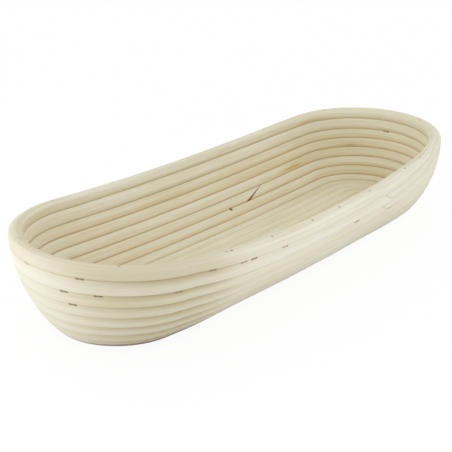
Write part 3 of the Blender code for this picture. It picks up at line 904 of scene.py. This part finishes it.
# Warm patches: middle and half length along the cane, strength, and middle and half width of the rise share
FLOOR_PATCHES = ((2 * LOOP, 4 * LOOP, -0.15, 0.0, 9.0),)
UPPER_PATCHES = (
    (7 * LOOP + 0.417, 0.016, 1.8, -0.3, 0.55),
    (7 * LOOP + 0.400, 0.035, 0.5, 0.0, 1.5),
    (8 * LOOP + 0.364, 0.006, 1.5, -0.6, 0.4),
    (9 * LOOP + 0.769, 0.011, 1.0, 0.1, 1.0),
)
coil_start = RAMP_START + COIL_BEGIN * RAMP_LENGTH
coil_end = LAST_COURSE * LOOP + TONGUE_AT - TONGUE_KERF / 2
half_kerf = SCARF_KERF / 2
make_cane(
    "floor_coil_cane", (coil_start, FLOOR_SCARF - half_kerf), coil_shape, FLOOR_OUTLINES, CANE_PITCH,
    cuts=(SQUARE, SCARF), stains=(0, 0.7), finish=(floor_rattan, "rattan"), seed=11, patches=FLOOR_PATCHES,
)
make_cane(
    "lower_wall_cane", (FLOOR_SCARF + half_kerf, WALL_SCARF - half_kerf),
    coil_shape, COIL_OUTLINES, CANE_PITCH,
    cuts=(SCARF, SCARF), stains=(0.7, 0.8), finish=COIL_FINISH, seed=12, wedge=0.9,
)
make_cane(
    "upper_wall_cane", (WALL_SCARF + half_kerf, coil_end), coil_shape, COIL_OUTLINES, CANE_PITCH,
    cuts=(SCARF, TONGUE), stains=(0.4, 0.55), finish=COIL_FINISH, seed=13, patches=UPPER_PATCHES,
)

# %% Band and rim
TAIL_END = 0.92
BAND_PATCHES = ((0.772, 0.030, 0.2, 0.3, 1.0),)
# The first rim patch, at the round front corner, is painted shade: it makes the rim tanner and darker there
RIM_PATCHES = (
    (0.776, 0.036, 1.3, 0.0, 2.0),
    (0.715, 0.030, 0.8, 0.0, 2.0),
    (0.390, 0.008, 1.6, -0.5, 0.4),
)
tongue_start = TONGUE_AT + TONGUE_KERF / 2
band_end = LOOP + TONGUE_AT - TONGUE_KERF / 2
rim_end = LOOP + RAMP_START + TAIL_END * RAMP_LENGTH
make_cane(
    "band_cane", (tongue_start, band_end), band_shape, COIL_OUTLINES, BAND_PITCH,
    cuts=(TONGUE, TONGUE), stains=(0.55, 0.55), finish=(band_rattan, "pale_rattan"), seed=14,
    patches=BAND_PATCHES,
)
make_cane(
    "rim_cane", (tongue_start, rim_end), rim_shape, RIM_OUTLINES, BAND_PITCH,
    cuts=(TONGUE, SQUARE), stains=(0.55, 0), finish=(rim_rattan, "pale_rattan"), seed=15,
    patches=RIM_PATCHES,
)

# %% Middle cane of the floor
CLOSE_STEPS = 12
CLOSE_LEAST = 0.02
MIDDLE_SEED = 16


def middle_grid():
    """The straight cane: the section along the spine, with ends that close in a quarter round."""
    out_share, rise_share = FLOOR_SECTION
    reach = (CANE_PITCH - SKIN_GAP) / 2
    close = np.linspace(math.pi / 2, 0, CLOSE_STEPS)[:-1]
    run = np.arange(-SPINE_HALF, SPINE_HALF + RING_STEP / 2, RING_STEP)
    x = np.concatenate([-SPINE_HALF - reach * np.sin(close), run, SPINE_HALF + reach * np.sin(close[::-1])])
    share = np.concatenate([np.cos(close), np.ones_like(run), np.cos(close[::-1])])
    share = share.clip(CLOSE_LEAST, 1)[:, None]
    out = CANE_DEPTH / 2 * out_share * share
    side = reach * rise_share * share
    spine_y = SPINE_Y + SPINE_SWEEP * (x / SPINE_HALF) ** 2
    place_parts = (SPINE_X + x[:, None], spine_y[:, None] - side, SPINE_Z - out)
    cane_parts = (x[:, None], out_share[None, :], rise_share[None, :])
    points = np.stack(np.broadcast_arrays(*place_parts), axis=-1)
    return points, np.stack(np.broadcast_arrays(*cane_parts), axis=-1), x


def make_middle_cane():
    """The middle cane as a piece: nothing pierces it, and all of it is sanded."""
    points, coordinates, x = middle_grid()
    flat_base(points)
    mesh = solid_mesh("middle_rattan", points)
    inward, rise_share = -np.ones((1, AROUND)), FLOOR_SECTION[1][None, :]
    tone_and_light = tone_of(x, inward, rise_share, MIDDLE_SEED, FLOOR_PATCHES)
    store_cane(mesh, coordinates, tone_and_light, np.zeros(points.shape[:2]), np.ones(points.shape[:2]))
    add_piece(mesh, floor_rattan, "rattan", "middle_cane")
    print(mesh.name, len(x), "rings")


make_middle_cane()

# %% [markdown]
# ## Wire
#
# The nails have small flat heads, sunk a little. The staples are flat wire bent into a U, and their backs lie
# just behind the face of the wood. The steel is dull and brown, so it gets a rough finish with little metal
# in it and darker blotches. Cylinders would do for what shows, but the pieces are also looked at one by one,
# so a nail is a turned profile with a head and a point, and a staple is a wire carried along its U.

# %% Fastener steel
STEEL_DARK = colour(0.20, 0.13, 0.07)
STEEL_LIGHT = colour(0.34, 0.25, 0.15)
BLOTCH_NOISE = {"Scale": 900.0, "Detail": 3.0}
BLOTCH_RANGE = (0.35, 0.65)
STEEL_ROUGHNESS, STEEL_POLISH = 0.75, 0.25
STEEL_METAL = 0.2


def dull_steel(name):
    """Grey brown metal, blotched by noise in the object's own coordinates."""
    material, shader, start = new_material(name)
    where = start.add("ShaderNodeTexCoord", output="Object")
    blotch = start.add("ShaderNodeTexNoise", None, {"Vector": where, **BLOTCH_NOISE}).step(*BLOTCH_RANGE)
    tint = blotch.mix(STEEL_DARK, STEEL_LIGHT)
    start.tree.links.new(tint.socket, shader.inputs["Base Color"])
    rough = STEEL_ROUGHNESS - STEEL_POLISH * blotch
    start.tree.links.new(rough.socket, shader.inputs["Roughness"])
    shader.inputs["Metallic"].default_value = STEEL_METAL
    return material


fastener_steel = dull_steel("fastener_steel")
print("wire finish:", fastener_steel.name)

# %% Nails
NAIL_LENGTH = 0.0125
NAIL_RADIUS = 0.0007
NAIL_HEAD_RADIUS = 0.0009
NAIL_HEAD_HEIGHT = 0.0006
NAIL_POINT = 0.0015
NAIL_SIDES = 20
TIP_SHARE = 0.02
HEAD_RADII = (0.02, 0.5, 0.85, 1.0, 1.0, 0.92)
HEAD_DEPTHS = (-0.10, -0.09, -0.04, 0.12, 0.75, 1.0)
SPOKE_HINT = np.array([1.0, 0.3, 0.2])


def frame_at(way, hint):
    """Two unit directions square to a fastener's way: one nearest to a hint, the other square to both."""
    first = hint - (hint @ way) * way
    first = first / np.linalg.norm(first)
    return first, np.cross(way, first)


def nail_grid(entry, way):
    """A nail: a profile of radius and depth, turned round the way that it was driven."""
    shank = [NAIL_RADIUS, NAIL_RADIUS, TIP_SHARE * NAIL_RADIUS]
    radius = np.concatenate([np.array(HEAD_RADII) * NAIL_HEAD_RADIUS, shank])
    shank_depth = [NAIL_HEAD_HEIGHT, NAIL_LENGTH - NAIL_POINT, NAIL_LENGTH]
    depth = np.concatenate([np.array(HEAD_DEPTHS) * NAIL_HEAD_HEIGHT, shank_depth])
    turn = np.arange(NAIL_SIDES) / NAIL_SIDES * 2 * math.pi
    first, second = frame_at(way, SPOKE_HINT)
    spokes = np.cos(turn)[:, None] * first + np.sin(turn)[:, None] * second
    return entry + radius[:, None, None] * spokes + depth[:, None, None] * way


nails = [row for row in fasteners if row["kind"].endswith("nail")]
for row in nails:
    entry, way = drive(row["course"], row["at"], row["side"], NAIL_SUNK)
    mesh = solid_mesh(row["node"] + "_wire", nail_grid(entry, way))
    add_piece(mesh, fastener_steel, "fastener_steel", row["node"])
print(len(nails), "nails")

# %% Staples
STAPLE_LEG = 0.0115
STAPLE_SUNK = 0.0006
WIRE_WIDTH = 0.0010
WIRE_THICKNESS = 0.0006
BEND_RADIUS = 0.0009
BEND_STEPS = 6
WIRE_SIDES = 12


def staple_path():
    """Half widths, depths and slopes of a U: up one leg, round two quarter circles, down the other leg."""
    turn = np.linspace(0, math.pi / 2, BEND_STEPS)
    half = STAPLE_CROWN / 2
    side = np.concatenate([[half], half - BEND_RADIUS * (1 - np.cos(turn))])
    depth = np.concatenate([[STAPLE_LEG], BEND_RADIUS * (1 - np.sin(turn))])
    slope = np.concatenate([[0.0], turn])
    slopes = np.concatenate([slope, math.pi - slope[::-1]])
    return np.concatenate([-side, side[::-1]]), np.concatenate([depth, depth[::-1]]), slopes


def staple_grid(first_end, second_end, way):
    """A staple: a flat oval wire carried along the U, wide across it and thin in its plane."""
    side, depth, slope = staple_path()
    across, square = frame_at(way, second_end - first_end)
    turn = -np.arange(WIRE_SIDES) / WIRE_SIDES * 2 * math.pi
    wide = WIRE_WIDTH / 2 * np.cos(turn)[None, :, None] * square
    outward = -np.cos(slope)[:, None] * across - np.sin(slope)[:, None] * way
    thin = WIRE_THICKNESS / 2 * np.sin(turn)[None, :, None] * outward[:, None, :]
    middle = (first_end + second_end) / 2 + side[:, None] * across + depth[:, None] * way
    return middle[:, None, :] + wide + thin


staples = [row for row in fasteners if row["kind"].endswith("staple")]
for row in staples:
    first_end, second_end, way = staple_ends(row, STAPLE_SUNK)
    mesh = solid_mesh(row["node"] + "_wire", staple_grid(first_end, second_end, way))
    add_piece(mesh, fastener_steel, "fastener_steel", row["node"])
print(len(staples), "staples")

# %% [markdown]
# ## Floor and light
#
# The photograph has a white ground and soft light from all round, a little stronger on both sides of the
# camera, and much of it is thrown back up by the ground. An even white world, a pale floor and two small soft
# boxes, low and close, give that. A strong lamp from above would be simpler, but it would draw dark grooves
# and a hard shadow. World and floor look white to the camera, and give a little less light than they seem to.

# %% Floor
FLOOR_SIZE = 6.0
FLOOR_DROP = 0.0001
FLOOR_GLOW = 0.93
FLOOR_WHITE = colour(0.97, 0.97, 0.97)
FLOOR_BOUNCE = colour(0.80, 0.80, 0.80)
FLOOR_ROUGHNESS = 0.9
GLOW_WHITE = colour(1, 1, 1)


def seen_directly(start):
    """1 for a ray from the camera, a mirror or glass, and 0 for light that bounces off matt things."""
    camera_ray = start.add("ShaderNodeLightPath", output="Is Camera Ray")
    glossy_ray = start.add("ShaderNodeLightPath", output="Is Glossy Ray")
    through_ray = start.add("ShaderNodeLightPath", output="Is Transmission Ray")
    return start.math("MAXIMUM", start.math("MAXIMUM", camera_ray, glossy_ray), through_ray)


def floor_material():
    """White, most of it its own glow where it is seen, so that the basket's shadow is faint but stays."""
    material, shader, start = new_material("white_floor")
    tint = seen_directly(start).mix(FLOOR_BOUNCE, FLOOR_WHITE)
    start.tree.links.new(tint.socket, shader.inputs["Base Color"])
    shader.inputs["Roughness"].default_value = FLOOR_ROUGHNESS
    shader.inputs["Specular IOR Level"].default_value = 0.0
    glow = start.add("ShaderNodeEmission", None, {"Color": GLOW_WHITE, "Strength": 1.0})
    matt = Signal(start.tree, shader.outputs[0])
    shares = {0: seen_directly(start) * FLOOR_GLOW, 1: matt, 2: glow}
    mixed = start.add("ShaderNodeMixShader", None, shares)
    start.tree.links.new(mixed.socket, start.tree.nodes["Material Output"].inputs["Surface"])
    return material


def make_floor():
    """A wide white square just under the basket."""
    corners = FLOOR_SIZE / 2 * np.array([(-1, -1), (1, -1), (1, 1), (-1, 1)])
    mesh = bpy.data.meshes.new("white_floor")
    mesh.from_pydata(np.column_stack([corners, np.full(4, -FLOOR_DROP)]), [], [(0, 1, 2, 3)])
    mesh.materials.append(floor_material())
    floor = bpy.data.objects.new("white_floor", mesh)
    bpy.context.scene.collection.objects.link(floor)


make_floor()
print("floor at", -1000 * FLOOR_DROP, "mm")

# %% World and lamps
AMBIENT = 0.96

# Each soft box: its name, watts, width, height, place and target
SOFT_BOXES = (
    ("left_lamp", 1.02, 0.30, 0.30, (-0.60, 0.32, 0.10), (-0.20, 0.02, 0.03)),
    ("right_lamp", 0.46, 0.40, 0.16, (0.00, -0.52, 0.05), (-0.03, -0.08, 0.03)),
)


def make_world():
    """White where the camera, a mirror or glass sees it, and a gentler white as light."""
    world = bpy.data.worlds.new("studio")
    world.use_nodes = True
    bpy.context.scene.world = world
    tree = world.node_tree
    start = Signal(tree)
    strength = AMBIENT + seen_directly(start) * (1 - AMBIENT)
    background = tree.nodes["Background"]
    background.inputs["Color"].default_value = GLOW_WHITE
    tree.links.new(strength.socket, background.inputs["Strength"])


def make_soft_box(name, watts, width, height, place_at, target):
    """A soft box close to one side and low: it lights that side, and little of it gets into the basket."""
    data = bpy.data.lights.new(name, "AREA")
    data.energy = watts
    data.shape = "RECTANGLE"
    data.size = width
    data.size_y = height
    lamp = bpy.data.objects.new(name, data)
    lamp.location = place_at
    lamp.rotation_euler = (Vector(place_at) - Vector(target)).to_track_quat("Z", "Y").to_euler()
    bpy.context.scene.collection.objects.link(lamp)


make_world()
for soft_box in SOFT_BOXES:
    make_soft_box(*soft_box)
print("ambient", AMBIENT, "and", len(SOFT_BOXES), "soft boxes")
